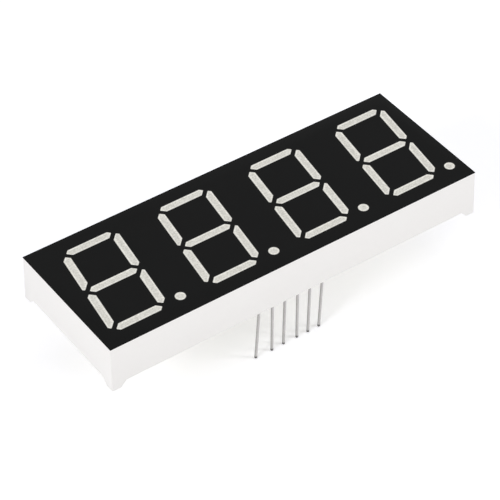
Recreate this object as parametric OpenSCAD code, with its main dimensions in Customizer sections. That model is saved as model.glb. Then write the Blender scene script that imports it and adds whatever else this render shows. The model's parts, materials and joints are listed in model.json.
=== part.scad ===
// Four-digit seven-segment display module for through-hole mounting.
// A white reflector housing holds 28 segment wells and 4 decimal-point wells. Each well is
// filled with cast resin and narrows towards the light source that it stands over. A circuit
// board closes the wells from behind and carries two rows of six pins.
// Origin: centre of the pin pattern, on the seating plane that the corner feet stand on.
// +X runs along the row of digits, +Y towards the digits' tops, +Z out of the face.

/* [Housing] */
// Length of the face, along the row of digits
body_l = 72; // [65:0.5:90]
// Depth of the face, across the row of digits
body_w = 26; // [23:0.5:34]
// Height from the seating plane to the front of the face
body_h = 8.8; // [8.2:0.1:12]
// Thickness of the rim round the circuit board
rim_t = 1.3; // [1:0.1:1.4]
// Width that the mould draft adds to each side at the walls' lower edge
draft_w = 0.15; // [0:0.05:0.3]
// Thickness of the black mask printed on the face
mask_t = 0.1; // [0.05:0.05:0.3]

/* [Feet] */
// Height of the corner feet below the walls' lower edge
foot_h = 1.1; // [0.6:0.1:1.4]
// Length of a foot's sole along each wall
foot_l = 1.5; // [1.4:0.1:3]
// Angle of a foot's flank from upright
foot_flare = 45; // [15:5:55]

/* [Digits] */
// Height of a digit over its outer edges
digit_h = 20.3; // [19:0.1:21]
// Width of a digit over its outer edges, measured level
digit_w = 10.88; // [10.2:0.01:11.4]
// Lean of the digits, from upright
digit_lean = 8; // [0:0.5:10]

/* [Segments] */
// Width of a segment's stroke
stroke = 1.5; // [1.3:0.05:1.8]
// Gap between the ends of neighbouring segments
segment_gap = 0.7; // [0.5:0.05:0.9]
// Length that each chamfer takes off the top or bottom edge at a digit's corner
corner_cut = 1.7; // [1.3:0.05:2]
// How far in from a digit's side the middle segment's mitres meet
waist_inset = 0.45; // [0.35:0.05:0.7]
// Radius of a segment's corners at the face
corner_r = 0.15; // [0.05:0.01:0.18]
// Length of a segment well's floor
floor_l = 2.6; // [2.2:0.1:3]
// Width of a segment well's floor
floor_w = 1.1; // [1:0.05:1.2]

/* [Decimal points] */
// Diameter of a decimal point
point_d = 1.9; // [1.6:0.1:2.2]
// Diameter of a decimal point well's floor
point_floor_d = 1.4; // [1.2:0.1:1.5]
// Distance from a decimal point's centre to the right edge of its digit's share of the face
point_margin = 2.5; // [2.3:0.1:2.6]

/* [Reflector cores] */
// Skin left between a core pocket and the face
core_skin = 1.4; // [1:0.1:2]
// Wall left between a core pocket and the wells beside it
core_wall = 0.9; // [0.8:0.05:1.4]

/* [Circuit board] */
// Thickness of the circuit board
board_t = 1.6; // [1:0.1:1.8]
// Depth of the board's rear face inside the walls' lower edge
board_inset = 0.9; // [0.8:0.1:1.2]
// Clearance between the board's edge and the rim
board_gap = 0.15; // [0.05:0.05:0.25]
// Thickness of the resin that seals the board's rear face
sealant_t = 0.7; // [0.6:0.05:0.8]

/* [Pins] */
// Pitch of the hole grid that the pins stand on
pin_pitch = 2.54; // [2:0.01:2.54]
// Diameter of a pin
pin_d = 0.5; // [0.4:0.02:0.6]
// Length of the pins below the seating plane
pin_l = 12.2; // [3:0.1:14]
// Length of the chamfer at a pin's tip
pin_tip = 0.15; // [0.05:0.05:0.4]
// How far a pin's flattened root stands out beyond the wire on each side
root_spread = 0.03; // [0.01:0.01:0.05]
// Clearance between the corners of a root and its plated hole, filled with solder
hole_gap = 0.07; // [0.05:0.01:0.1]
// Radius of a solder fillet where it meets the board
fillet_r = 0.7; // [0.55:0.05:0.85]
// Height of a solder fillet along its pin
fillet_h = 0.5; // [0.3:0.05:0.55]

/* [Light sources] */
// Side of a light-emitting die
die_w = 0.3; // [0.2:0.02:0.4]
// Height of a light-emitting die
die_h = 0.25; // [0.15:0.05:0.3]
// Diameter of a bond wire
wire_d = 0.05; // [0.03:0.01:0.06]
// Span of a bond wire, from the die's centre to its landing on the board
wire_l = 0.7; // [0.5:0.05:0.8]

/* [Hidden] */
DIGITS = [1, 2, 3, 4];
LETTERS = ["a", "b", "c", "d", "e", "f", "g"];
PINS = [1:12];
PINS_PER_ROW = 6;

function segment_name(d, s) = str("digit_", d, "_segment_", s);
function point_name(d) = str("digit_", d, "_decimal_point");
function pin_name(n) = str("pin_", n < 10 ? "0" : "", n);

// Levels, from the seating plane up
board_rear_z = foot_h + board_inset;
board_front_z = board_rear_z + board_t;
housing_top_z = body_h - mask_t;
sealant_z = board_rear_z - sealant_t;
core_top_z = housing_top_z - core_skin;

// Room inside the rim
bay_l = body_l - 2 * rim_t;
bay_w = body_w - 2 * rim_t;

// Each digit has an equal share of the face, with its decimal point level with its foot.
digit_pitch = body_l / len(DIGITS);
point_x = digit_pitch / 2 - point_margin;
point_y = (digit_h - point_d) / 2;

// The two rows stand as many steps of the hole grid apart as the room inside the rim takes.
pin_r = pin_d / 2;
root_w = pin_d + 2 * root_spread;
root_t = PI * pin_r * pin_r / root_w; // flattening keeps the wire's section
root_r = norm([root_w, root_t]) / 2; // reach of a root's corners
hole_r = root_r + hole_gap;
row_room = bay_w - 2 * (board_gap + fillet_r);
row_pitch = pin_pitch * floor(row_room / pin_pitch);

cut = 1; // how far a cutter runs past the face that it opens
round_fn = 48;
corner_steps = 3; // chords in each of a segment's rounded corners

// ---- Outline of a digit, about its own centre ----
// A line is [p, q, r], which stands for p*x + q*y = r.
function level(y) = [0, 1, y];
function leaning(x) = [1, -tan(digit_lean), x];
function rising(c) = [-1, 1, c];
function falling(c) = [1, 1, c];

function crossing(m, n) =
    let (det = m[0] * n[1] - m[1] * n[0])
    [(m[2] * n[1] - m[1] * n[2]) / det, (m[0] * n[2] - m[2] * n[0]) / det];
function outline(lines) =
    [for (i = [0 : len(lines) - 1]) crossing(lines[i], lines[(i + 1) % len(lines)])];

// Unit normal that points out of an outline from an edge that is run clockwise
function outward(run) = [-run[1], run[0]] / norm(run);

// Points round one corner, from the edge that arrives there to the edge that leaves
function corner_arc(before, corner, after) =
    let (
        first = outward(corner - before),
        last = outward(after - corner),
        centre = corner - corner_r * (first + last) / (1 + first * last),
        start = atan2(first[1], first[0]),
        turn = acos(first * last)
    )
    [for (k = [0 : corner_steps])
        let (angle = start - turn * k / corner_steps)
        centre + corner_r * [cos(angle), sin(angle)]];
function rounded(corners) =
    let (n = len(corners))
    [for (i = [0 : n - 1])
        each corner_arc(corners[(i + n - 1) % n], corners[i], corners[(i + 1) % n])];

half_h = digit_h / 2;
half_w = digit_w / 2;
side_w = stroke / cos(digit_lean); // level width of an upright stroke
inner_h = half_h - stroke;
inner_w = half_w - side_w;
gap_run = segment_gap / sqrt(2); // half the gap, measured along the level
waist = half_w - waist_inset;

// Outer and inner corners of the ring that the six outer segments form
left_out = crossing(leaning(-half_w), level(half_h));
left_in = crossing(leaning(-inner_w), level(inner_h));
right_out = crossing(leaning(half_w), level(half_h));
right_in = crossing(leaning(inner_w), level(inner_h));

// 45 degree mitre lines through those corners, and the chamfers across them
left_mitre = (left_out[0] + left_out[1] + left_in[0] + left_in[1]) / 2;
right_mitre = (right_out[1] - right_out[0] + right_in[1] - right_in[0]) / 2;
left_chamfer = left_out[1] - left_out[0] - corner_cut;
right_chamfer = right_out[1] + right_out[0] - corner_cut;

SEGMENT_A = outline([
    level(half_h), falling(right_chamfer), rising(right_mitre + gap_run),
    level(inner_h), falling(left_mitre + gap_run), rising(left_chamfer)
]);
SEGMENT_B = outline([
    falling(right_chamfer), leaning(half_w), rising(gap_run - waist),
    falling(waist + gap_run), leaning(inner_w), rising(right_mitre - gap_run)
]);
SEGMENT_F = outline([
    leaning(-half_w), rising(left_chamfer), falling(left_mitre - gap_run),
    leaning(-inner_w), rising(waist + gap_run), falling(gap_run - waist)
]);
SEGMENT_G = outline([
    level(stroke / 2), falling(waist - gap_run), rising(gap_run - waist),
    level(-stroke / 2), falling(gap_run - waist), rising(waist - gap_run)
]);

// The lower half of a digit is its upper half turned half a turn.
function segment_corners(s) =
    s == "a" ? SEGMENT_A :
    s == "b" ? SEGMENT_B :
    s == "c" ? -SEGMENT_F :
    s == "d" ? -SEGMENT_A :
    s == "e" ? -SEGMENT_B :
    s == "f" ? SEGMENT_F : SEGMENT_G;
function segment_outline(s) = rounded(segment_corners(s));
function lies_level(s) = s == "a" || s == "d" || s == "g";
function segment_way(s) = lies_level(s) ? [1, 0] : [sin(digit_lean), cos(digit_lean)];
function centre_of(points) = [for (p = points) 1] * points / len(points);
function reach_along(points, way) =
    let (runs = [for (p = points) p * way]) max(runs) - min(runs);

// A well's floor is its outline drawn in towards the centre, along and across the segment.
function floor_outline(s) =
    let (
        top = segment_outline(s),
        middle = centre_of(top),
        way = segment_way(s),
        side = [-way[1], way[0]],
        along = floor_l / reach_along(top, way),
        across = floor_w / reach_along(top, side)
    )
    [for (p = top)
        middle + way * ((p - middle) * way) * along + side * ((p - middle) * side) * across];

function digit_x(d) = (d - (len(DIGITS) + 1) / 2) * digit_pitch;
function ring_at(points, z) = [for (p = points) [p[0], p[1], z]];

// Solid with the same number of points at every level, listed clockwise seen from above
module lofted(rings) {
    n = len(rings[0]);
    last = (len(rings) - 1) * n;
    bottom = [for (i = [n - 1 : -1 : 0]) i];
    top = [for (i = [0 : n - 1]) last + i];
    sides = [
        for (k = [0 : len(rings) - 2], i = [0 : n - 1])
            let (j = (i + 1) % n, low = k * n, high = low + n)
            each [[low + i, high + j, high + i], [low + i, low + j, high + j]]
    ];
    polyhedron(points = [for (ring = rings, p = ring) p], faces = concat([bottom, top], sides));
}

// ---- Housing ----
// Straight block of a width that grows downwards with the mould draft
module drafted_profile(width, low, high) {
    slope = draft_w / (housing_top_z - foot_h);
    function half(z) = width / 2 + (housing_top_z - z) * slope;
    polygon([[-half(low), low], [half(low), low], [half(high), high], [-half(high), high]]);
}

module drafted_block(low, high) {
    intersection() {
        rotate([90, 0, 0])
            linear_extrude(2 * body_w, center = true)
                drafted_profile(body_l, low, high);
        rotate([90, 0, 90])
            linear_extrude(2 * body_l, center = true)
                drafted_profile(body_w, low, high);
    }
}

// Everything but the strip between the feet of one wall, seen along that wall's normal
module toe_profile(width) {
    sole_x = width / 2 - foot_l;
    top_x = sole_x - foot_h * tan(foot_flare);
    for (side = [-1, 1])
        polygon([
            [side * sole_x, 0], [side * width, 0],
            [side * width, foot_h], [side * top_x, foot_h]
        ]);
}

// Short corner feet that carry the walls' planes down to the seating plane
module corner_feet() {
    intersection() {
        drafted_block(0, foot_h);
        rotate([90, 0, 0])
            linear_extrude(2 * body_w, center = true)
                toe_profile(body_l);
        rotate([90, 0, 90])
            linear_extrude(2 * body_l, center = true)
                toe_profile(body_w);
    }
}

// Room for a segment's resin, or, run on past both ends, the cutter that opens it
module segment_well(s, overrun = 0) {
    foot = floor_outline(s);
    head = segment_outline(s);
    lofted(concat(
        overrun > 0 ? [ring_at(foot, board_front_z - overrun)] : [],
        [
            ring_at(foot, board_front_z),
            ring_at(head, housing_top_z),
            ring_at(head, body_h + overrun)
        ]
    ));
}

module point_well(overrun = 0) {
    translate([point_x, -point_y, 0]) {
        if (overrun > 0)
            translate([0, 0, board_front_z - overrun])
                cylinder(d = point_floor_d, h = overrun, $fn = round_fn);
        translate([0, 0, board_front_z])
            cylinder(
                d1 = point_floor_d, d2 = point_d,
                h = housing_top_z - board_front_z, $fn = round_fn
            );
        translate([0, 0, housing_top_z])
            cylinder(d = point_d, h = mask_t + overrun, $fn = round_fn);
    }
}

// Leaning slot that hollows the reflector between wells, open towards the board
module core_pocket(x_low, x_high, y_low, y_high) {
    corners = outline([leaning(x_low), level(y_high), leaning(x_high), level(y_low)]);
    translate([0, 0, board_front_z - cut])
        linear_extrude(core_top_z - board_front_z + cut)
            polygon(corners);
}

module core_pockets() {
    counter_x = inner_w - core_wall;
    counter_low = stroke / 2 + core_wall;
    counter_high = inner_h - core_wall;
    for (d = DIGITS) translate([digit_x(d), 0, 0]) {
        core_pocket(-counter_x, counter_x, counter_low, counter_high);
        core_pocket(-counter_x, counter_x, -counter_high, -counter_low);
    }
    // Between two digits, above the decimal point
    for (d = [1 : len(DIGITS) - 1]) translate([digit_x(d), 0, 0])
        core_pocket(
            half_w + core_wall, digit_pitch - half_w - core_wall,
            point_d / 2 + core_wall - point_y, half_h
        );
}

module reflector_housing() {
    color([0.95, 0.95, 0.94])
        difference() {
            union() {
                drafted_block(foot_h, housing_top_z);
                corner_feet();
            }
            translate([-bay_l / 2, -bay_w / 2, -cut])
                cube([bay_l, bay_w, board_front_z + cut]);
            for (d = DIGITS) translate([digit_x(d), 0, 0]) {
                for (s = LETTERS) segment_well(s, cut);
                point_well(cut);
            }
            core_pockets();
        }
}

module face_mask() {
    color([0.1, 0.1, 0.1])
        translate([0, 0, housing_top_z])
            linear_extrude(mask_t)
                difference() {
                    square([body_l, body_w], center = true);
                    for (d = DIGITS) translate([digit_x(d), 0]) {
                        for (s = LETTERS) polygon(segment_outline(s));
                        translate([point_x, -point_y]) circle(d = point_d, $fn = round_fn);
                    }
                }
}

// ---- Light sources ----
module at_segment(s) {
    middle = centre_of(segment_outline(s));
    way = segment_way(s);
    translate([middle[0], middle[1], board_front_z])
        rotate(atan2(way[1], way[0]))
            children();
}

module at_point() {
    translate([point_x, -point_y, board_front_z]) children();
}

module die() {
    translate([-die_w / 2, -die_w / 2, 0]) cube([die_w, die_w, die_h]);
}

// Loop from the middle of the die's top to the board
module bond_wire(reach) {
    translate([reach / 2, 0, die_h])
        rotate([90, 0, 0])
            rotate_extrude(angle = 180, $fn = round_fn)
                translate([reach / 2, 0])
                    circle(d = wire_d, $fn = 16);
    translate([reach, 0, 0])
        cylinder(d = wire_d, h = die_h, $fn = 16);
}

// A decimal point's well is shorter than a segment's, so its wire lands nearer.
point_reach = min(wire_l, point_floor_d / 2 - 2 * wire_d);

module light_source(reach) {
    die();
    bond_wire(reach);
}

module led_dies() {
    color([0.85, 0.8, 0.45])
        for (d = DIGITS) translate([digit_x(d), 0, 0]) {
            for (s = LETTERS) at_segment(s) die();
            at_point() die();
        }
}

module bond_wires() {
    color([0.85, 0.85, 0.86])
        for (d = DIGITS) translate([digit_x(d), 0, 0]) {
            for (s = LETTERS) at_segment(s) bond_wire(wire_l);
            at_point() bond_wire(point_reach);
        }
}

// ---- Resin that fills the wells and carries the light up to the face ----
module segment_fill(d, s) {
    color([0.86, 0.86, 0.84])
        translate([digit_x(d), 0, 0])
            difference() {
                segment_well(s);
                at_segment(s) light_source(wire_l);
            }
}

module point_fill(d) {
    color([0.86, 0.86, 0.84])
        translate([digit_x(d), 0, 0])
            difference() {
                point_well();
                at_point() light_source(point_reach);
            }
}

// ---- Board and pins ----
// Pins count from the left along the front row, then back along the rear row.
function pin_place(n) =
    let (
        front = n <= PINS_PER_ROW,
        column = front ? n - 1 : 2 * PINS_PER_ROW - n
    )
    [
        (column - (PINS_PER_ROW - 1) / 2) * pin_pitch,
        (front ? -1 : 1) * row_pitch / 2,
        0
    ];

// Where a pin passes through the resin and the board its wire is pressed flat, to grip.
module pin_root(overrun = 0) {
    translate([-root_w / 2, -root_t / 2, sealant_z - overrun])
        cube([root_w, root_t, board_front_z - sealant_z + 2 * overrun]);
}

module pin(n) {
    color([0.72, 0.72, 0.72])
        translate(pin_place(n)) {
            pin_root();
            translate([0, 0, pin_tip - pin_l])
                cylinder(r = pin_r, h = sealant_z + pin_l - pin_tip, $fn = round_fn);
            translate([0, 0, -pin_l])
                cylinder(r1 = pin_r - pin_tip / 2, r2 = pin_r, h = pin_tip, $fn = round_fn);
        }
}

// Plug of solder in a plated hole, with the concave fillet behind the board
module solder_plug() {
    steps = 6;
    neck_r = root_r + hole_gap / 2;
    fillet = [
        for (i = [0 : steps])
            let (turn = 90 - 90 * i / steps)
            [
                fillet_r - (fillet_r - neck_r) * cos(turn),
                board_rear_z - fillet_h + fillet_h * sin(turn)
            ]
    ];
    profile = concat(
        [[0, board_front_z], [hole_r, board_front_z], [hole_r, board_rear_z]],
        fillet,
        [[0, board_rear_z - fillet_h]]
    );
    rotate_extrude($fn = round_fn) polygon(profile);
}

module solder_joints() {
    color([0.76, 0.77, 0.78])
        for (n = PINS) translate(pin_place(n))
            difference() {
                solder_plug();
                pin_root(cut);
            }
}

module circuit_board() {
    board_l = bay_l - 2 * board_gap;
    board_w = bay_w - 2 * board_gap;
    color([0.55, 0.66, 0.45])
        difference() {
            translate([-board_l / 2, -board_w / 2, board_rear_z])
                cube([board_l, board_w, board_t]);
            for (n = PINS) translate(pin_place(n) + [0, 0, board_rear_z - cut])
                cylinder(r = hole_r, h = board_t + 2 * cut, $fn = round_fn);
        }
}

module rear_sealant() {
    color([0.9, 0.89, 0.8])
        difference() {
            translate([-bay_l / 2, -bay_w / 2, sealant_z])
                cube([bay_l, bay_w, sealant_t]);
            for (n = PINS) translate(pin_place(n)) {
                solder_plug();
                pin_root(cut);
            }
        }
}

reflector_housing();
face_mask();
for (d = DIGITS, s = LETTERS)
    segment_fill(d, s);
for (d = DIGITS)
    point_fill(d);
led_dies();
bond_wires();
circuit_board();
solder_joints();
rear_sealant();
for (n = PINS)
    pin(n);
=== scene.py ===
# %% [markdown]
# # A four-digit seven-segment display module
#
# The module is one white moulding with a black printed face. Pale resin fills the wells
# behind the segments, and two rows of tinned wires stand out of the resin at the back.
# The CAD model gives the exact frame. This lesson gives each part its finish, and makes
# new meshes where the real part is softer or less regular than its CAD solid. It goes
# from the camera and the light to the finishes, and then from piece to piece.

# %% Load the frame
import json
import math

import bmesh
import bpy
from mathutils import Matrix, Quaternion, Vector


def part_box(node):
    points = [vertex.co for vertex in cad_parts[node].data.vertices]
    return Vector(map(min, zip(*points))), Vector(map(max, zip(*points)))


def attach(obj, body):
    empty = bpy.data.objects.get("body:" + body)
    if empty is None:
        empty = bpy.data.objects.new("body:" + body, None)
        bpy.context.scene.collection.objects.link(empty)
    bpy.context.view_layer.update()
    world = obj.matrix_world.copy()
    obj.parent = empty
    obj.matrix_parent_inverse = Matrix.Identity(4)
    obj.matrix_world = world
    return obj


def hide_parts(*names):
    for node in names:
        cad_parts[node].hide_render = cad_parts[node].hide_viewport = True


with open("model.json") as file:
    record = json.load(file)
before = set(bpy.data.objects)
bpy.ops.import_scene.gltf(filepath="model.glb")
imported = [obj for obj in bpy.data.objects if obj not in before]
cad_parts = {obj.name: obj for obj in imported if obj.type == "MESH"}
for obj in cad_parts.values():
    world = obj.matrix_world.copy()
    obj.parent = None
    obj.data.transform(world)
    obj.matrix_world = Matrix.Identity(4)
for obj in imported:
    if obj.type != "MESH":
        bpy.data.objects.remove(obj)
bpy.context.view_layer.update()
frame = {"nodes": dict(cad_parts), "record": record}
nodes = frame["nodes"]
scene = bpy.context.scene
scene.view_settings.view_transform = "Standard"

# %% [markdown]
# ## Sizes that the pieces share
#
# Blender works in metres, and the module is described in millimetres. Sizes could be
# typed in again here, but every position below comes from a CAD node's box instead, so
# the pieces still fit if the CAD model changes.

# %% Read the sizes from the CAD boxes
MM = 0.001
mask_low, mask_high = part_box("face_mask")
sealant_low, sealant_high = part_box("rear_sealant")
floor_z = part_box("pin_01")[0].z
print("pins reach down to", round(1000 * floor_z, 2), "mm")

# %% [markdown]
# ## The camera
#
# A long lens looks down from the left, so the module shows hardly any perspective. A
# camera could be given a place and three turns, but these are hard to adjust one at a
# time. Here it is placed by its distance from the point that it aims at, which keeps the
# three choices apart: where to look, from which side, and from how far.

# %% Place the camera
AIM = Vector((-5.48, -6.82, 8.8)) * MM
CAMERA_AZIMUTH = math.radians(-34.87)
CAMERA_ELEVATION = math.radians(42.41)
CAMERA_DISTANCE = 368 * MM
CAMERA_ROLL = math.radians(-0.5)
SENSOR_WIDTH = 36.0  # these two are in millimetres, as on a real camera
FOCAL_LENGTH = 165.6
NEAREST, FURTHEST = 0.01, 20.0

away = Vector((
    math.sin(CAMERA_AZIMUTH) * math.cos(CAMERA_ELEVATION),
    -math.cos(CAMERA_AZIMUTH) * math.cos(CAMERA_ELEVATION),
    math.sin(CAMERA_ELEVATION),
))
camera_data = bpy.data.cameras.new("product_camera")
camera_data.sensor_width = SENSOR_WIDTH
camera_data.lens = FOCAL_LENGTH
camera_data.clip_start = NEAREST
camera_data.clip_end = FURTHEST
camera = bpy.data.objects.new("product_camera", camera_data)
scene.collection.objects.link(camera)
camera.rotation_mode = "QUATERNION"
camera.rotation_quaternion = (
    away.to_track_quat("Z", "Y") @ Quaternion((0, 0, 1), CAMERA_ROLL)
)
camera.location = AIM + away * CAMERA_DISTANCE
scene.camera = camera
print("camera at", [round(1000 * v, 1) for v in camera.location], "mm")

# %% [markdown]
# ## The tent
#
# The module stands in a white tent, which lights it evenly from all round. A ring of large
# lamps could do this, but the world does it with less noise. A white world would light the
# module too much, so the world has two strengths. The camera and the reflections see plain
# white, and the light that falls on the module stays at a level at which a colour renders
# about as it is written.

# %% Light the tent
SKY_LEVEL = 0.546
WHITE = (1, 1, 1, 1)


def add_node(tree, kind, **values):
    """A shader node with its properties, or its inputs by name, already set."""
    node = tree.nodes.new(kind)
    for key, value in values.items():
        if key in node.inputs:
            node.inputs[key].default_value = value
        else:
            setattr(node, key, value)
    return node


def seen_directly(tree):
    """1 for rays from the camera and for reflections and refractions, 0 for lighting rays."""
    path = add_node(tree, "ShaderNodeLightPath")
    first_two = add_node(tree, "ShaderNodeMath", operation="MAXIMUM")
    all_three = add_node(tree, "ShaderNodeMath", operation="MAXIMUM")
    tree.links.new(path.outputs["Is Camera Ray"], first_two.inputs[0])
    tree.links.new(path.outputs["Is Glossy Ray"], first_two.inputs[1])
    tree.links.new(first_two.outputs[0], all_three.inputs[0])
    tree.links.new(path.outputs["Is Transmission Ray"], all_three.inputs[1])
    return all_three.outputs[0]


def choose_by_ray(tree, lighting, shown, output):
    """Sends one shader to the lighting rays and another to the rays that see it."""
    choose = add_node(tree, "ShaderNodeMixShader")
    tree.links.new(seen_directly(tree), choose.inputs[0])
    tree.links.new(lighting.outputs[0], choose.inputs[1])
    tree.links.new(shown.outputs[0], choose.inputs[2])
    tree.links.new(choose.outputs[0], output.inputs[0])


world = bpy.data.worlds.new("white_tent")
world.use_nodes = True
scene.world = world
tree = world.node_tree
tree.nodes.clear()
sky = add_node(tree, "ShaderNodeBackground", Color=WHITE, Strength=SKY_LEVEL)
backdrop = add_node(tree, "ShaderNodeBackground", Color=WHITE, Strength=1.0)
choose_by_ray(tree, sky, backdrop, add_node(tree, "ShaderNodeOutputWorld"))
print("tent light level:", SKY_LEVEL)

# %% [markdown]
# ## The lamps
#
# Even light alone makes a white moulding look flat. Two softboxes outside the tent, low on
# the left and on the right, give each wall its own tone and draw short shadows at the
# pins' tips, and a weak one above lifts the face. Point lamps would be simpler, but their
# shadows are hard, and the gloss on the wires would be a dot instead of a band.

# %% Add the soft lamps
LAMPS = (  # name, direction from the module, distance in m, side in m, power in W
    ("top_softbox", (0.0, 0.1, 1.0), 0.9, 0.5, 0.6),
    ("left_softbox", (-1.0, -0.3, 0.6), 1.2, 0.35, 4.67),
    ("right_softbox", (0.76, -0.66, 0.52), 1.2, 0.3, 3.76),
)


def soft_lamp(name, direction, distance, size, watts):
    """A square area lamp that faces the module from a given direction."""
    data = bpy.data.lights.new(name, "AREA")
    data.size = size
    data.energy = watts
    lamp = bpy.data.objects.new(name, data)
    scene.collection.objects.link(lamp)
    toward = Vector(direction).normalized()
    lamp.location = toward * distance
    lamp.rotation_mode = "QUATERNION"
    lamp.rotation_quaternion = toward.to_track_quat("Z", "Y")


for lamp_facts in LAMPS:
    soft_lamp(*lamp_facts)

# %% [markdown]
# ## The white card
#
# The module stands on white card. Under plain light the card would look pale grey, and
# brighter lamps would burn out the module. So the card, like the tent, has two looks. The
# light that it sends up to the module comes from plain paper. What the camera and the
# reflections see is the same paper, slightly cooler, with a little glow added: it reads as
# white and still keeps the soft shadow.

# %% Lay the white card
CARD_HALF = 1.5
PAPER = (0.91, 0.91, 0.91, 1)
PAPER_SHOWN = (0.94, 0.94, 0.975, 1)
GLOW_COLOUR = (0.96, 0.97, 1, 1)
CARD_GLOW = 0.299

corners = ((-1, -1), (1, -1), (1, 1), (-1, 1))
card_mesh = bpy.data.meshes.new("white_card")
card_mesh.from_pydata(
    [(x * CARD_HALF, y * CARD_HALF, floor_z) for x, y in corners], [], [(0, 1, 2, 3)]
)
card = bpy.data.objects.new("white_card", card_mesh)
scene.collection.objects.link(card)

card_paper = bpy.data.materials.new("white_card_paper")
card_paper.use_nodes = True
tree = card_paper.node_tree
tree.nodes.clear()
paper = add_node(tree, "ShaderNodeBsdfDiffuse", Color=PAPER)
shown_paper = add_node(tree, "ShaderNodeBsdfDiffuse", Color=PAPER_SHOWN)
glow = add_node(tree, "ShaderNodeEmission", Color=GLOW_COLOUR, Strength=CARD_GLOW)
shown = add_node(tree, "ShaderNodeAddShader")
tree.links.new(shown_paper.outputs[0], shown.inputs[0])
tree.links.new(glow.outputs[0], shown.inputs[1])
choose_by_ray(tree, paper, shown, add_node(tree, "ShaderNodeOutputMaterial"))
card_mesh.materials.append(card_paper)
print("card at", round(1000 * floor_z, 2), "mm")

# %% [markdown]
# ## Shader groups
#
# Plastic, ink, resin and tin all vary a little across their surface. Each effect that more
# than one of them shows is a node group, built once and placed in each material with its
# own values. Groups work in millimetres of the object's own space, so no UV map is needed
# and the grain keeps its size on every piece.

# %% Helpers that build a group
def new_group(name, inputs, outputs):
    """A shader group with float inputs {name: default} and outputs [(name, socket type)]."""
    group = bpy.data.node_groups.new(name, "ShaderNodeTree")
    for label, value in inputs.items():
        socket = group.interface.new_socket(
            label, in_out="INPUT", socket_type="NodeSocketFloat"
        )
        socket.default_value = value
    for label, kind in outputs:
        group.interface.new_socket(label, in_out="OUTPUT", socket_type=kind)
    return group, add_node(group, "NodeGroupInput"), add_node(group, "NodeGroupOutput")


def millimetres(tree):
    """The object's own coordinates, in millimetres."""
    place = add_node(tree, "ShaderNodeTexCoord")
    grow = add_node(tree, "ShaderNodeVectorMath", operation="SCALE", Scale=1 / MM)
    tree.links.new(place.outputs["Object"], grow.inputs[0])
    return grow.outputs[0]


def one_over(tree, socket):
    """A texture scale from a feature size: 1 / size."""
    divide = add_node(tree, "ShaderNodeMath", operation="DIVIDE")
    divide.inputs[0].default_value = 1.0
    tree.links.new(socket, divide.inputs[1])
    return divide.outputs[0]


def feed(tree, source, socket):
    """Gives a socket its value: a link from another socket, or a plain number or colour."""
    if isinstance(source, bpy.types.NodeSocket):
        tree.links.new(source, socket)
    else:
        socket.default_value = source


# A Mix node has a set of sockets for each kind of data, all with the same names, so they
# are picked by number: factor, first, second and result.
VALUE_SOCKETS = (0, 2, 3, 0)
COLOUR_SOCKETS = (0, 6, 7, 2)


def mix(tree, kind, share, first, second, blend_type="MIX"):
    """The output of a Mix node for kind FLOAT or RGBA."""
    node = add_node(tree, "ShaderNodeMix", data_type=kind, blend_type=blend_type)
    factor, a, b, result = COLOUR_SOCKETS if kind == "RGBA" else VALUE_SOCKETS
    feed(tree, share, node.inputs[factor])
    feed(tree, first, node.inputs[a])
    feed(tree, second, node.inputs[b])
    return node.outputs[result]


# %% [markdown]
# ### Mottle
#
# Moulded plastic, printed ink and cured resin are never one even tone. Broad clouds carry
# a finer mottle. One noise texture with much detail could give both, but two let a
# material set the size and the share of each. The group puts out one value about 0.5,
# which a material then turns into a small change of colour or roughness.

# %% Build the mottle group
mottle_group, group_in, group_out = new_group(
    "mottle",
    {"Cloud Size": 9.0, "Speckle Size": 0.5, "Speckle Share": 0.35},
    [("Value", "NodeSocketFloat")],
)
place = millimetres(mottle_group)
clouds = add_node(mottle_group, "ShaderNodeTexNoise", Detail=3.0, Roughness=0.55)
speckle = add_node(mottle_group, "ShaderNodeTexNoise", Detail=4.0, Roughness=0.6)
for texture, size in ((clouds, "Cloud Size"), (speckle, "Speckle Size")):
    mottle_group.links.new(place, texture.inputs["Vector"])
    mottle_group.links.new(
        one_over(mottle_group, group_in.outputs[size]), texture.inputs["Scale"]
    )
mottled = mix(
    mottle_group, "FLOAT", group_in.outputs["Speckle Share"],
    clouds.outputs[0], speckle.outputs[0],
)
mottle_group.links.new(mottled, group_out.inputs["Value"])
print("group:", mottle_group.name)

# %% [markdown]
# ### Skin grain
#
# A spark-eroded mould leaves a fine dimpled skin, and a screen print dries with a fine
# orange peel. Both are small rounded cells with finer noise on top, a few hundredths of a
# millimetre deep at most, which is too fine for geometry. The group puts out a height,
# which the material's own Bump node turns into a normal.

# %% Build the skin grain group
grain_group, group_in, group_out = new_group(
    "skin_grain",
    {"Dimple Size": 0.12, "Noise Size": 0.05, "Noise Share": 0.4},
    [("Height", "NodeSocketFloat")],
)
place = millimetres(grain_group)
dimples = add_node(grain_group, "ShaderNodeTexVoronoi", feature="SMOOTH_F1")
fine = add_node(grain_group, "ShaderNodeTexNoise", Detail=2.0)
for texture, size in ((dimples, "Dimple Size"), (fine, "Noise Size")):
    grain_group.links.new(place, texture.inputs["Vector"])
    grain_group.links.new(
        one_over(grain_group, group_in.outputs[size]), texture.inputs["Scale"]
    )
grainy = mix(
    grain_group, "FLOAT", group_in.outputs["Noise Share"],
    dimples.outputs["Distance"], fine.outputs[0],
)
grain_group.links.new(grainy, group_out.inputs["Height"])
print("group:", grain_group.name)

# %% [markdown]
# ### Filler haze
#
# The resins are milky because of a powder that scatters light. Its grains gather in small
# flecks, a little lighter or darker than the resin round them. A volume with real grains
# would be slow to render, so cells on the surface stand for them. The segment resin and
# the potting resin at the back both show the haze, at different sizes.

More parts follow.
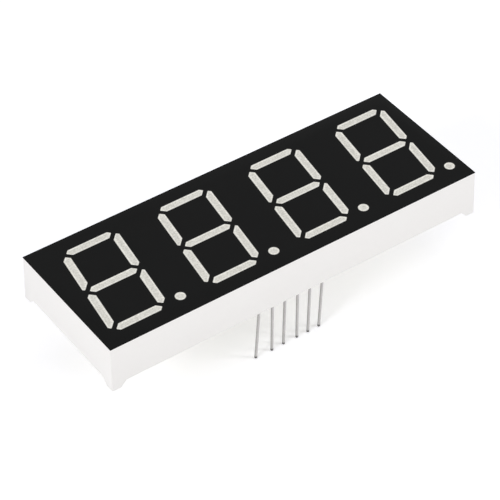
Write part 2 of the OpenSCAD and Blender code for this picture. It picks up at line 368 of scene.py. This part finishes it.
# %% Build the filler haze group
haze_group, group_in, group_out = new_group(
    "filler_haze",
    {"Fleck Size": 0.35, "Fleck Share": 0.5},
    [("Value", "NodeSocketFloat")],
)
place = millimetres(haze_group)
flecks = add_node(haze_group, "ShaderNodeTexVoronoi", feature="F1")
drift = add_node(haze_group, "ShaderNodeTexNoise", Scale=0.9, Detail=3.0)
soft = add_node(haze_group, "ShaderNodeMapRange")
soft.inputs["From Min"].default_value = 0.1
soft.inputs["From Max"].default_value = 0.75
haze_group.links.new(place, flecks.inputs["Vector"])
haze_group.links.new(place, drift.inputs["Vector"])
haze_group.links.new(
    one_over(haze_group, group_in.outputs["Fleck Size"]), flecks.inputs["Scale"]
)
haze_group.links.new(flecks.outputs["Distance"], soft.inputs["Value"])
hazy = mix(
    haze_group, "FLOAT", group_in.outputs["Fleck Share"], drift.outputs[0], soft.outputs[0]
)
haze_group.links.new(hazy, group_out.inputs["Value"])
print("group:", haze_group.name)

# %% [markdown]
# ### Drawing lines
#
# Wire is pulled through a die, which scores long fine lines along it. A brushed look could
# come from an anisotropic shader, but the export loses it where it varies. Here the lines
# are noise that is squeezed across the wire and stretched along it, and the pins and the
# bond wires show them at different sizes.

# %% Build the drawing lines group
lines_group, group_in, group_out = new_group(
    "drawing_lines",
    {"Line Width": 0.04, "Line Length": 6.0},
    [("Value", "NodeSocketFloat")],
)
place = millimetres(lines_group)
shape = add_node(lines_group, "ShaderNodeCombineXYZ")
scaled = add_node(lines_group, "ShaderNodeVectorMath", operation="MULTIPLY")
scores = add_node(lines_group, "ShaderNodeTexNoise", Scale=1.0, Detail=2.0)
across = one_over(lines_group, group_in.outputs["Line Width"])
along = one_over(lines_group, group_in.outputs["Line Length"])
lines_group.links.new(across, shape.inputs["X"])
lines_group.links.new(across, shape.inputs["Y"])
lines_group.links.new(along, shape.inputs["Z"])
lines_group.links.new(place, scaled.inputs[0])
lines_group.links.new(shape.outputs[0], scaled.inputs[1])
lines_group.links.new(scaled.outputs[0], scores.inputs["Vector"])
lines_group.links.new(scores.outputs[0], group_out.inputs["Value"])
print("group:", lines_group.name)

# %% [markdown]
# ## Materials
#
# Every finish below is one Principled shader. A finish could be mixed from several
# shaders, but one is enough for plastic, ink, resin and metal, and it is easier to read.
# Its constant values sit on the shader's own sockets, and only what changes over the
# surface comes from the groups.

# %% Helpers that build a finish
def new_finish(name, **values):
    """An empty material with a Principled shader, and that shader's constant values."""
    material = bpy.data.materials.new(name)
    material.use_nodes = True
    shader = material.node_tree.nodes["Principled BSDF"]
    for key, value in values.items():
        shader.inputs[key.replace("_", " ")].default_value = value
    return material, material.node_tree, shader


def place_group(tree, group, **values):
    """The group as a node in this material, with its inputs set by name."""
    node = add_node(tree, "ShaderNodeGroup")
    node.node_tree = group
    for key, value in values.items():
        node.inputs[key.replace("_", " ")].default_value = value
    return node


USUAL_LOW, USUAL_HIGH = 0.3, 0.7  # nearly all of a noise texture lies between these


def colour_ramp(tree, value, stops):
    """A colour from a value, with stops given from low to high as (position, colour)."""
    ramp = add_node(tree, "ShaderNodeValToRGB")
    elements = ramp.color_ramp.elements
    while len(elements) < len(stops):
        elements.new(0.5)
    for element, (position, colour) in zip(elements, stops):
        element.position = position
        element.color = (*colour, 1)
    tree.links.new(value, ramp.inputs[0])
    return ramp.outputs[0]


def grey_ramp(tree, value, stops):
    """A colour ramp between greys, with stops given as (position, level)."""
    return colour_ramp(tree, value, [(position, (level,) * 3) for position, level in stops])


def tint(tree, value, dark, light):
    """Turns a value about 0.5 into a colour between two close tones."""
    return colour_ramp(tree, value, ((USUAL_LOW, dark), (USUAL_HIGH, light)))


def spread(tree, value, low, high, socket):
    """Turns a value about 0.5 into a range of numbers, such as a roughness."""
    node = add_node(tree, "ShaderNodeMapRange")
    for label, number in (
        ("From Min", USUAL_LOW), ("From Max", USUAL_HIGH), ("To Min", low), ("To Max", high)
    ):
        node.inputs[label].default_value = number
    tree.links.new(value, node.inputs["Value"])
    tree.links.new(node.outputs[0], socket)


def emboss(tree, height, depth_mm, shader):
    """A bump whose full height is depth_mm."""
    bump = add_node(tree, "ShaderNodeBump", Strength=1.0, Distance=depth_mm * MM)
    tree.links.new(height, bump.inputs["Height"])
    tree.links.new(bump.outputs[0], shader.inputs["Normal"])


finishes = {}

# %% [markdown]
# ### White housing plastic
#
# The reflector is moulded in polycarbonate that is packed with white pigment, so it sends
# back nearly all light. Its skin is smooth with a soft gloss, and the flow of the melt
# leaves faint clouds in tone and gloss. Scattering below the skin would be truer to such
# plastic, but so much pigment stops the light at once, and plain diffuse colour looks the
# same and renders faster.

# %% Mix the white plastic
material, tree, shader = new_finish("housing_plastic", IOR=1.58)
clouds = place_group(tree, mottle_group, Cloud_Size=14.0, Speckle_Size=0.8, Speckle_Share=0.3)
white = tint(tree, clouds.outputs[0], (0.905, 0.886, 0.873), (0.925, 0.908, 0.896))
tree.links.new(white, shader.inputs["Base Color"])
spread(tree, clouds.outputs[0], 0.3, 0.42, shader.inputs["Roughness"])
grain = place_group(tree, grain_group, Dimple_Size=0.16, Noise_Size=0.05, Noise_Share=0.5)
emboss(tree, grain.outputs[0], 0.0025, shader)
finishes["housing_plastic"] = material
print("finish:", material.name)

# %% [markdown]
# ### Black mask ink
#
# Two passes of matt black ink hide the white plastic round the windows. Ink swallows light
# and dries with a fine orange peel. A pure black would show none of that, so the ink is a
# very dark grey with a faint mottle. Its gloss is low, so the specular level is low as well.

# %% Mix the black ink
material, tree, shader = new_finish("mask_ink", Specular_IOR_Level=0.03)
clouds = place_group(tree, mottle_group, Cloud_Size=6.0, Speckle_Size=0.25, Speckle_Share=0.45)
black = tint(tree, clouds.outputs[0], (0.0087, 0.0089, 0.0091), (0.0113, 0.0114, 0.0114))
tree.links.new(black, shader.inputs["Base Color"])
spread(tree, clouds.outputs[0], 0.48, 0.62, shader.inputs["Roughness"])
peel = place_group(tree, grain_group, Dimple_Size=0.11, Noise_Size=0.04, Noise_Share=0.55)
emboss(tree, peel.outputs[0], 0.004, shader)
finishes["mask_ink"] = material
print("finish:", material.name)

# %% [markdown]
# ### Milky segment resin
#
# Unlit segments look pale grey. Light sinks into the milky resin and comes back from the
# white walls of the well, so a segment is lightest along its edges, where the wall is
# close, and greyer further in. The printed ink runs over the very edge of the resin. Deep
# scattering could give the light rim by itself, but slowly and with much noise. Instead the
# rim's light and the grey middle are painted into the colour: the pieces carry how far in a
# point lies as an attribute named "depth", from 0 at the edge to 1 over the middle, and one
# ramp turns it into the ink over the edge, the painted highlight of the rim and the painted
# shade further in.

# %% Mix the segment resin
INK_AND_PAINTED_RIM_LEVELS = (  # under the ink, just clear of it, end of the painted light rim, painted grey inside, middle
    (0.05, 0.02), (0.09, 1.0), (0.36, 0.985), (0.6, 0.845), (1.0, 0.86)
)

material, tree, shader = new_finish("segment_resin", IOR=1.52, Subsurface_Weight=0.12)
shader.inputs["Subsurface Radius"].default_value = (1.0, 0.95, 0.85)
shader.inputs["Subsurface Scale"].default_value = 0.4 * MM
haze = place_group(tree, haze_group, Fleck_Size=0.3, Fleck_Share=0.45)
milky = colour_ramp(
    tree, haze.outputs[0], ((0.25, (0.685, 0.669, 0.612)), (0.75, (0.93, 0.913, 0.845)))
)
# Painted highlight and shade: the ramp on depth makes the rim lighter and the middle greyer.
depth = add_node(tree, "ShaderNodeAttribute", attribute_name="depth")
level = grey_ramp(tree, depth.outputs["Fac"], INK_AND_PAINTED_RIM_LEVELS)
resin_with_painted_rim = mix(tree, "RGBA", 1.0, milky, level, blend_type="MULTIPLY")
tree.links.new(resin_with_painted_rim, shader.inputs["Base Color"])
spread(tree, haze.outputs[0], 0.32, 0.42, shader.inputs["Roughness"])
skin = place_group(tree, grain_group, Dimple_Size=0.2, Noise_Size=0.07, Noise_Share=0.5)
emboss(tree, skin.outputs[0], 0.003, shader)
finishes["segment_resin"] = material
print("finish:", material.name)

# %% [markdown]
# ### Tinned wire
#
# The pins are drawn steel or brass wire with a dull tin coat. The coat is grey metal,
# streaked along the wire by the drawing die, and clouded where the tin has oxidised. The
# side of each wire that faces the right-hand lamp is painted lighter, as painted light. The
# wire is cut after tinning, so its end is bare; the dark band at the tip is partly that bare
# metal and partly painted shade where the tip stands on the card. Separate materials for
# the coat and the tip would meet in a hard line. Instead the pins carry two attributes: one
# grows from 0 to 1 towards the lighter side, and one grows to 1 towards the tip.

# %% Mix the tin coat
# The dark of the tip: bare cut metal, with painted shade where the tip stands on the card.
BARE_TIP_AND_SHADE = (0.1, 0.096, 0.092, 1)

material, tree, shader = new_finish("pin_metal", Metallic=0.7)
lines = place_group(tree, lines_group, Line_Width=0.06, Line_Length=8.0)
clouds = place_group(tree, mottle_group, Cloud_Size=1.6, Speckle_Size=0.2, Speckle_Share=0.4)
streaks = mix(tree, "FLOAT", 0.5, lines.outputs[0], clouds.outputs[0])
coat = tint(tree, streaks, (0.44, 0.43, 0.422), (0.65, 0.642, 0.634))
# Painted light: the side of each wire towards the right-hand lamp is painted lighter.
painted_light_side = add_node(tree, "ShaderNodeAttribute", attribute_name="painted_light_side")
painted_side_light = grey_ramp(tree, painted_light_side.outputs["Fac"], ((0.0, 0.72), (0.7, 1.0)))
coat_and_painted_light = mix(tree, "RGBA", 1.0, coat, painted_side_light, blend_type="MULTIPLY")
# Painted shade with bare metal: the tip darkens where it stands on the card.
bare_tip_shade = add_node(tree, "ShaderNodeAttribute", attribute_name="bare_tip_and_painted_shade")
seen_metal = mix(tree, "RGBA", bare_tip_shade.outputs["Fac"], coat_and_painted_light, BARE_TIP_AND_SHADE)
tree.links.new(seen_metal, shader.inputs["Base Color"])
spread(tree, clouds.outputs[0], 0.34, 0.5, shader.inputs["Roughness"])
emboss(tree, lines.outputs[0], 0.004, shader)
finishes["pin_metal"] = material
print("finish:", material.name)

# %% [markdown]
# ### Solder
#
# A soldered joint freezes from a liquid, so it is bright and gently wavy. The waves could
# be modelled, but they are so small that a bump from the mottle group looks the same. The
# joints sit under the potting resin and are seen when the module is taken apart.

# %% Mix the solder
material, tree, shader = new_finish("solder_metal", Metallic=1.0)
clouds = place_group(tree, mottle_group, Cloud_Size=0.7, Speckle_Size=0.12, Speckle_Share=0.35)
bright = tint(tree, clouds.outputs[0], (0.6, 0.61, 0.63), (0.74, 0.745, 0.76))
tree.links.new(bright, shader.inputs["Base Color"])
spread(tree, clouds.outputs[0], 0.16, 0.34, shader.inputs["Roughness"])
emboss(tree, clouds.outputs[0], 0.01, shader)
finishes["solder_metal"] = material
print("finish:", material.name)

# %% [markdown]
# ### Board laminate
#
# The board is glass cloth in green resin, and the cloth shows through as a fine grid. An
# image of a weave could be used, but it would blur close up. Two wave textures that cross,
# with the higher of the two kept at each point, look like threads at any distance.

# %% Weave the board laminate
material, tree, shader = new_finish("board_laminate", IOR=1.55)
place = millimetres(tree)
weave = []
for axis in ("X", "Y"):
    band = add_node(
        tree, "ShaderNodeTexWave", wave_type="BANDS", bands_direction=axis,
        Scale=0.5, Distortion=0.6, Detail=1.0,
    )
    tree.links.new(place, band.inputs["Vector"])
    weave.append(band.outputs["Fac"])
cloth = add_node(tree, "ShaderNodeMath", operation="MAXIMUM")
tree.links.new(weave[0], cloth.inputs[0])
tree.links.new(weave[1], cloth.inputs[1])
green = tint(tree, cloth.outputs[0], (0.25, 0.34, 0.18), (0.34, 0.44, 0.25))
tree.links.new(green, shader.inputs["Base Color"])
spread(tree, cloth.outputs[0], 0.3, 0.45, shader.inputs["Roughness"])
emboss(tree, cloth.outputs[0], 0.008, shader)
finishes["board_laminate"] = material
print("finish:", material.name)

# %% [markdown]
# ### Dies and bond wires
#
# Each segment is lit by a tiny sawn crystal, fed by a wire thinner than a hair. A clear
# shader would suit the crystal, but it is hardly larger than a grain of sand, and a glossy
# amber one with a high index of refraction looks the same. The wire is bright metal with
# very fine drawing lines. Both use the groups above at a much smaller size.

# %% Mix the die crystal and the bond wire
material, tree, shader = new_finish("die_crystal", IOR=2.4)
clouds = place_group(tree, mottle_group, Cloud_Size=0.2, Speckle_Size=0.03, Speckle_Share=0.3)
amber = tint(tree, clouds.outputs[0], (0.6, 0.52, 0.19), (0.74, 0.66, 0.3))
tree.links.new(amber, shader.inputs["Base Color"])
spread(tree, clouds.outputs[0], 0.08, 0.2, shader.inputs["Roughness"])
finishes["die_crystal"] = material

material, tree, shader = new_finish("wire_metal", Metallic=1.0)
lines = place_group(tree, lines_group, Line_Width=0.01, Line_Length=0.4)
silvery = tint(tree, lines.outputs[0], (0.78, 0.78, 0.79), (0.9, 0.9, 0.91))
tree.links.new(silvery, shader.inputs["Base Color"])
spread(tree, lines.outputs[0], 0.14, 0.26, shader.inputs["Roughness"])
finishes["wire_metal"] = material
print("finishes so far:", sorted(finishes))

# %% [markdown]
# ### Potting resin
#
# The back is sealed with pourable resin, the colour of pale straw. It is glossy, and
# cloudy with filler where it is thick. Clear resin would need transmission and many
# bounces, but this one lets little light through, so a weak scattering under a thin glossy
# coat is enough.

# %% Mix the potting resin
material, tree, shader = new_finish(
    "sealant_resin", IOR=1.52, Subsurface_Weight=0.2, Coat_Weight=0.3, Coat_Roughness=0.08
)
shader.inputs["Subsurface Radius"].default_value = (1.0, 0.85, 0.5)
shader.inputs["Subsurface Scale"].default_value = 0.6 * MM
haze = place_group(tree, haze_group, Fleck_Size=0.8, Fleck_Share=0.3)
straw = tint(tree, haze.outputs[0], (0.7, 0.67, 0.53), (0.8, 0.78, 0.66))
tree.links.new(straw, shader.inputs["Base Color"])
spread(tree, haze.outputs[0], 0.14, 0.3, shader.inputs["Roughness"])
clouds = place_group(tree, mottle_group, Cloud_Size=3.0, Speckle_Size=0.6, Speckle_Share=0.2)
emboss(tree, clouds.outputs[0], 0.03, shader)
finishes["sealant_resin"] = material
print("finish:", material.name)

# %% [markdown]
# ## Give every CAD node its finish
#
# Each node could be dressed by hand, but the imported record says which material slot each
# node has, so one loop dresses them all. The nodes that are rebuilt below are dressed as
# well, because they stay in the model.

# %% Dress the CAD nodes
slot_of = {part["node"]: part["material_slot"] for part in frame["record"]["subparts"]}
for name, node in nodes.items():
    node.data.materials.clear()
    node.data.materials.append(finishes[slot_of[name]])
print("dressed", len(nodes), "nodes in", len(set(slot_of.values())), "finishes")

# %% [markdown]
# ## Work from a CAD solid
#
# The real housing, print and resin differ from their CAD solids only in small ways. They
# could be built anew, but it is easier to start from a copy of the solid. The copy is
# welded and its flat faces are joined, which leaves one face and one edge wherever the
# real part has one, ready for rounding. The CAD node itself isn't touched: it is hidden,
# and the piece stands for it.

# %% Helpers for pieces that start from a solid
WELD = 1e-7
FLAT = math.radians(0.3)  # faces that meet at less than this are one flat face


def solid_copy(name):
    """The node's mesh as a clean bmesh: welded, and with its flat faces joined."""
    mesh = bmesh.new()
    mesh.from_mesh(nodes[name].data)
    bmesh.ops.remove_doubles(mesh, verts=mesh.verts, dist=WELD)
    bmesh.ops.dissolve_limit(mesh, angle_limit=FLAT, verts=mesh.verts, edges=mesh.edges)
    mesh.normal_update()
    return mesh


def finish_piece(mesh, name, slot, stands_for, smooth_deg=40):
    """Turns a bmesh into a piece that rides on the module and stands for CAD nodes."""
    data = bpy.data.meshes.new(name)
    mesh.to_mesh(data)
    mesh.free()
    piece = bpy.data.objects.new(name, data)
    scene.collection.objects.link(piece)
    data.materials.append(finishes[slot])
    data.shade_smooth()
    data.set_sharp_from_angle(angle=math.radians(smooth_deg))
    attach(piece, "root")
    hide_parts(*stands_for)
    return piece


# %% [markdown]
# ## The white housing
#
# Every outer edge of a moulding has a radius from the mould: a generous one up the corners,
# a small one along the foot of the walls, and the least round the face, where the ink has
# to reach. These radii catch the light. A bevel modifier would round the wells inside as
# well, so here each radius is a bevel in code, on edges that are picked by where they lie
# and by how sharply they turn.

# %% Helpers that pick and round edges
CORNER_RADIUS, CORNER_STEPS = 0.25 * MM, 7
FOOT_RADIUS = 0.12 * MM
FACE_RADIUS = 0.05 * MM
SMALL_STEPS = 2
SKIN = 0.4 * MM  # how far in from the outside an outer edge may lie
LEEWAY = 0.02 * MM
SHARP = math.radians(20)
TALL = 5 * MM  # an edge that rises by more than this runs up a corner

half_l = (mask_high.x - mask_low.x) / 2
half_w = (mask_high.y - mask_low.y) / 2
face_z = mask_low.z


def sharp_edges(mesh, inset, keep):
    """Sharp edges that lie within inset of the outside and pass a test."""
    return [
        edge for edge in mesh.edges
        if edge.is_manifold and edge.calc_face_angle(0) > SHARP
        and all(
            abs(vert.co.x) > half_l - inset or abs(vert.co.y) > half_w - inset
            for vert in edge.verts
        )
        and keep(edge)
    ]


def round_off(mesh, edges, radius, steps):
    """Bevels the edges to a radius and says how many there were."""
    bmesh.ops.bevel(
        mesh, geom=edges, offset=radius, offset_type="OFFSET",
        segments=steps, profile=0.5, affect="EDGES", clamp_overlap=True,
    )
    return len(edges)


def split_large_faces(mesh):
    """Cuts faces with more than four corners into triangles, so they stay flat."""
    bmesh.ops.triangulate(mesh, faces=[face for face in mesh.faces if len(face.verts) > 4])


def runs_up(edge):
    return abs(edge.verts[0].co.z - edge.verts[1].co.z) > TALL


def lies_above(height):
    """A test for edges whose two ends both lie above a height."""
    return lambda edge: all(vert.co.z > height for vert in edge.verts)


at_face = lies_above(face_z - LEEWAY)
print("radii in mm:", [round(r / MM, 2) for r in (CORNER_RADIUS, FOOT_RADIUS, FACE_RADIUS)])

# %% Round the housing's outer edges
SLIVER = 0.001 * MM

mesh = solid_copy("reflector_housing")
rounded = 0
for keep, radius, steps in (
    (runs_up, CORNER_RADIUS, CORNER_STEPS),
    (at_face, FACE_RADIUS, SMALL_STEPS),
    (lambda edge: not at_face(edge) and not runs_up(edge), FOOT_RADIUS, SMALL_STEPS),
):
    rounded += round_off(mesh, sharp_edges(mesh, SKIN, keep), radius, steps)
split_large_faces(mesh)
bmesh.ops.dissolve_degenerate(mesh, edges=mesh.edges, dist=SLIVER)
housing = finish_piece(mesh, "housing_moulding", "housing_plastic", ["reflector_housing"])
print("rounded", rounded, "edges;", len(housing.data.polygons), "faces")

# %% [markdown]
# ## The printed face
#
# The ink stops just short of the housing's rounded edge, and its own edge is a soft step.
# It could be painted on the housing by a material, but the windows would then be only as
# sharp as their mask. As a thin solid of its own it has true edges: the CAD mask is
# copied, drawn in at its outer border, and rounded there.

# %% Draw the ink in from the edge
INK_BORDER = 0.03 * MM
INK_EDGE = 0.03 * MM

mesh = solid_copy("face_mask")
for vert in mesh.verts:
    for axis, half in ((0, half_l), (1, half_w)):
        if abs(abs(vert.co[axis]) - half) < LEEWAY:
            vert.co[axis] = math.copysign(half - INK_BORDER, vert.co[axis])
top_edges = sharp_edges(mesh, INK_BORDER + LEEWAY, lies_above(mask_high.z - LEEWAY))
softened = round_off(mesh, top_edges, INK_EDGE, SMALL_STEPS)
split_large_faces(mesh)
mask = finish_piece(mesh, "printed_mask", "mask_ink", ["face_mask"])
print("ink edges:", softened, "faces:", len(mask.data.polygons))

# %% [markdown]
# ## The cast segments
#
# Resin shrinks as it cures, so each segment's face sinks slightly towards its middle line.
# A displacement could do this, but it needs a dense mesh. Instead the face is replaced by
# a few rings that close in on the middle line. Each ring lies a little deeper, and carries
# how far in it lies as the "depth" that the finish reads.

# %% Helpers that find the middle line
NO_LENGTH = 1e-9


def middle_line(corners):
    """Both ends of the line along the middle of a long outline; one point for a disc."""
    centre = sum(corners, Vector()) / len(corners)
    far = max(corners, key=lambda p: (p - centre).length)
    opposite = max(corners, key=lambda p: (p - far).length)
    way = (opposite - far).normalized()
    side = Vector((-way.y, way.x, 0))
    half_length = (opposite - far).length / 2
    half_width = max(abs((p - centre).dot(side)) for p in corners)
    reach = max(0.0, half_length - half_width)
    return centre - way * reach, centre + way * reach


def nearest_on(start, end, point):
    """The point of the line from start to end that is nearest to a point."""
    run = end - start
    if run.length < NO_LENGTH:
        return start
    share = (point - start).dot(run) / run.length_squared
    return start + run * min(1.0, max(0.0, share))


# %% Cast the segments and the points
RING_SHARES = (0.05, 0.09, 0.36, 0.6, 0.8)  # of the way from the edge to the middle line
SINK = 0.02 * MM
LEVEL = 0.9  # a face whose normal rises by more than this lies level


def cast_resin(name):
    """A copy of the fill whose face sinks in rings and carries the depth attribute."""
    mesh = solid_copy(name)
    top_z = max(vert.co.z for vert in mesh.verts)
    depth_layer = mesh.verts.layers.float.new("depth")
    face = next(
        f for f in mesh.faces
        if f.normal.z > LEVEL and all(v.co.z > top_z - LEEWAY for v in f.verts)
    )
    rim_loop = list(face.verts)
    start, end = middle_line([vert.co.copy() for vert in rim_loop])
    bmesh.ops.delete(mesh, geom=[face], context="FACES_ONLY")
    outer = rim_loop
    for share in RING_SHARES:
        inner = []
        for rim_vert in rim_loop:
            spot = rim_vert.co.lerp(nearest_on(start, end, rim_vert.co), share)
            vert = mesh.verts.new((spot.x, spot.y, top_z - SINK * share * (2 - share)))
            vert[depth_layer] = share
            inner.append(vert)
        for k, vert in enumerate(outer):
            j = (k + 1) % len(outer)
            mesh.faces.new((vert, outer[j], inner[j], inner[k]))
        outer = inner
    mesh.faces.new(outer)
    split_large_faces(mesh)
    mesh.normal_update()
    return finish_piece(mesh, name + "_cast", "segment_resin", [name])


fills = sorted(name for name in nodes if slot_of[name] == "segment_resin")
cast = [cast_resin(name) for name in fills]
print("cast", len(cast), "pieces of resin")

# %% [markdown]
# ## The pins
#
# Straight wire is pressed flat where it grips the board, tinned, and cut. After handling,
# no two pins stand quite alike: some lean by up to four degrees from where they leave the
# resin. A curve with a bevel would give round wire, but not the change from flat to round.
# Instead each pin is swept as rings from its flat root to its chamfered tip, and the lean
# grows in over the first part of its length, as a bend does. The rings also carry what the
# finish reads: the lighter side, which is painted light, and the dark tip, which is partly
# bare metal and partly painted shade.

# %% Set the measures of the wires
AROUND = 28
LEAN = {  # degrees towards +X and +Y
    1: (-3.9, 0.3), 2: (-0.8, -0.1), 3: (-1.3, 0.3), 4: (-0.4, 0.3), 5: (-1.7, 0.2),
    6: (-2.9, 0.3), 7: (0.6, -0.4), 8: (-0.3, 0.2), 9: (0.9, 0.1), 10: (-0.7, 0.5),
    11: (0.2, -0.2), 12: (0.5, 0.3),
}
BEND_RUN = 1.2 * MM  # the drop over which the lean grows in
ROW_SET = (0.42 * MM, 0.05 * MM)  # both rows were pushed a little sideways as they were bent
PAINTED_LIGHT_SIDE = (0.82, -0.57)  # the side that is painted lighter, towards the right-hand lamp
TIP_RUN = 0.65 * MM  # the last part of a pin, which darkens towards the tip: partly bare metal, partly painted shade
TIP_DARKENING_REACH = 1.8  # how fast it darkens; the tip itself is fully dark
FLAT_ROOT, ROUND = 6.0, 2.0  # how square a section is; 2 is a circle
ROOT_ABOVE, ROOT_BELOW = 0.12 * MM, 0.1 * MM  # where flat ends and round starts, at the exit
SHAFT_STEPS = 9
SHAFT_POWER = 1.5  # above 1 sets the rings closer near the bend
TIP_ROUNDS = ((0.07 * MM, 0.95), (0.0, 0.7))  # height over the tip, share of the radius

exit_z = sealant_low.z
print("the wires leave the resin at", round(exit_z / MM, 2), "mm")


# %% Helpers that shape a wire
def wire_rings(low, high):
    """Height, half width, half thickness and squareness of each ring, from the root down."""
    radius = (high.y - low.y) / 2
    root_half_w = (high.x - low.x) / 2
    root_half_t = radius * radius * math.pi / (4 * root_half_w)
    shaft_top = exit_z - ROOT_BELOW
    shaft_run = shaft_top - (low.z + TIP_RUN)
    rings = [
        (high.z, root_half_w, root_half_t, FLAT_ROOT),
        (exit_z + ROOT_ABOVE, root_half_w, root_half_t, FLAT_ROOT),
        (shaft_top, radius, radius, ROUND),
    ]
    for i in range(1, SHAFT_STEPS + 1):
        share = (i / SHAFT_STEPS) ** SHAFT_POWER
        rings.append((shaft_top - shaft_run * share, radius, radius, ROUND))
    rings.append((low.z + 0.5 * TIP_RUN, radius, radius, ROUND))
    for over_tip, share in TIP_ROUNDS:
        rings.append((low.z + over_tip, radius * share, radius * share, ROUND))
    return rings


def section_point(turn, half_x, half_y, square):
    """A point of the section, which goes from a circle to a rectangle as square grows."""
    c, s = math.cos(turn), math.sin(turn)
    x = math.copysign(abs(c) ** (2 / square), c) * half_x
    y = math.copysign(abs(s) ** (2 / square), s) * half_y
    return x, y


def bend_shift(drop, slopes):
    """How far a ring moves sideways, at a drop below the resin."""
    eased = drop - BEND_RUN * (1 - math.exp(-drop / BEND_RUN))
    settled = 1 - math.exp(-((drop / BEND_RUN) ** 2))
    return [eased * slope + settled * push for slope, push in zip(slopes, ROW_SET)]


# %% Sweep the pins
def sweep_pin(number):
    """A round wire with a flat root, a slight lean and a chamfered tip."""
    node_name = f"pin_{number:02d}"
    low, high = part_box(node_name)
    centre = (low + high) / 2
    slopes = [math.tan(math.radians(angle)) for angle in LEAN[number]]

    mesh = bmesh.new()
    bare_tip_shade_layer = mesh.verts.layers.float.new("bare_tip_and_painted_shade")
    painted_light_layer = mesh.verts.layers.float.new("painted_light_side")
    loops = []
    for z, half_x, half_y, square in wire_rings(low, high):
        shift_x, shift_y = bend_shift(max(0.0, exit_z - z), slopes)
        # the tip darkens: partly bare cut metal, partly painted shade
        bare_and_shaded = min(1.0, max(0.0, TIP_DARKENING_REACH * (1 - (z - low.z) / TIP_RUN)))
        loop = []
        for k in range(AROUND):
            turn = 2 * math.pi * k / AROUND
            x, y = section_point(turn, half_x, half_y, square)
            vert = mesh.verts.new((centre.x + x + shift_x, centre.y + y + shift_y, z))
            # painted light: lighter on the side towards the right-hand lamp
            towards_painted_light = math.cos(turn) * PAINTED_LIGHT_SIDE[0] + math.sin(turn) * PAINTED_LIGHT_SIDE[1]
            vert[bare_tip_shade_layer] = bare_and_shaded
            vert[painted_light_layer] = 0.5 + 0.5 * towards_painted_light
            loop.append(vert)
        loops.append(loop)
    for upper, lower in zip(loops, loops[1:]):
        for k in range(AROUND):
            j = (k + 1) % AROUND
            mesh.faces.new((upper[k], lower[k], lower[j], upper[j]))
    mesh.faces.new(loops[0])
    mesh.faces.new(loops[-1][::-1])
    mesh.normal_update()
    return finish_piece(mesh, f"{node_name}_wire", "pin_metal", [node_name], smooth_deg=35)


pins = [sweep_pin(number) for number in LEAN]
print("swept", len(pins), "pins")

# %% [markdown]
# ## The potting resin at the back
#
# The resin is poured last. It wets whatever it touches, so it creeps a little way down each
# pin and along the rim, and its surface between them is gently uneven. A bump in the finish
# could fake this, but the creep shows in outline beside the pins. So the piece is a slab
# whose outer face is a fine grid, and one function moves it by those three effects.

# %% Shape the poured surface
SHRINK = 0.05 * MM  # how far the surface sinks as it cures
WAVE = 0.03 * MM
WAVE_X, WAVE_Y = 5.1 * MM, 3.7 * MM  # run of the waves, per radian
CREEP_RIM, RIM_RUN = 0.12 * MM, 0.5 * MM  # how far the resin creeps, and over what distance
CREEP_PIN, PIN_RUN = 0.3 * MM, 0.35 * MM
PIN_RADIUS = 0.25 * MM
PIN_REACH = 4 * MM  # beyond this a pin has no effect

pin_places = []
for number in LEAN:
    low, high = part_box(f"pin_{number:02d}")
    pin_places.append(((low.x + high.x) / 2, (low.y + high.y) / 2))


def resin_level(x, y):
    """Height of the poured surface, which faces down."""
    level = sealant_low.z + SHRINK
    level += WAVE * math.sin(x / WAVE_X + 0.7) * math.sin(y / WAVE_Y + 0.4)
    to_rim = min(
        x - sealant_low.x, sealant_high.x - x, y - sealant_low.y, sealant_high.y - y
    )
    level -= CREEP_RIM * math.exp(-to_rim / RIM_RUN)
    for pin_x, pin_y in pin_places:
        reach = math.hypot(x - pin_x, y - pin_y)
        if reach < PIN_REACH:
            level -= CREEP_PIN * math.exp(-max(0.0, reach - PIN_RADIUS) / PIN_RUN)
    return level


creep = (resin_level(0, 0) - resin_level(*pin_places[0])) / MM
print("the resin creeps", round(creep, 2), "mm down a pin")

# %% Pour the potting resin
CELL = 0.4 * MM

mesh = bmesh.new()
columns = round((sealant_high.x - sealant_low.x) / CELL)
rows = round((sealant_high.y - sealant_low.y) / CELL)
grid = []
for j in range(rows + 1):
    y = sealant_low.y + (sealant_high.y - sealant_low.y) * j / rows
    line = []
    for i in range(columns + 1):
        x = sealant_low.x + (sealant_high.x - sealant_low.x) * i / columns
        line.append(mesh.verts.new((x, y, resin_level(x, y))))
    grid.append(line)
for j in range(rows):
    for i in range(columns):
        mesh.faces.new((grid[j][i], grid[j + 1][i], grid[j + 1][i + 1], grid[j][i + 1]))
border = [edge for edge in mesh.edges if edge.is_boundary]
lifted = bmesh.ops.extrude_edge_only(mesh, edges=border)["geom"]
for item in lifted:
    if isinstance(item, bmesh.types.BMVert):
        item.co.z = sealant_high.z
back_loop = [item for item in lifted if isinstance(item, bmesh.types.BMEdge)]
bmesh.ops.contextual_create(mesh, geom=back_loop)
bmesh.ops.recalc_face_normals(mesh, faces=mesh.faces)
resin = finish_piece(mesh, "potting_resin", "sealant_resin", ["rear_sealant"], smooth_deg=50)
print("poured", len(resin.data.polygons), "faces of resin")
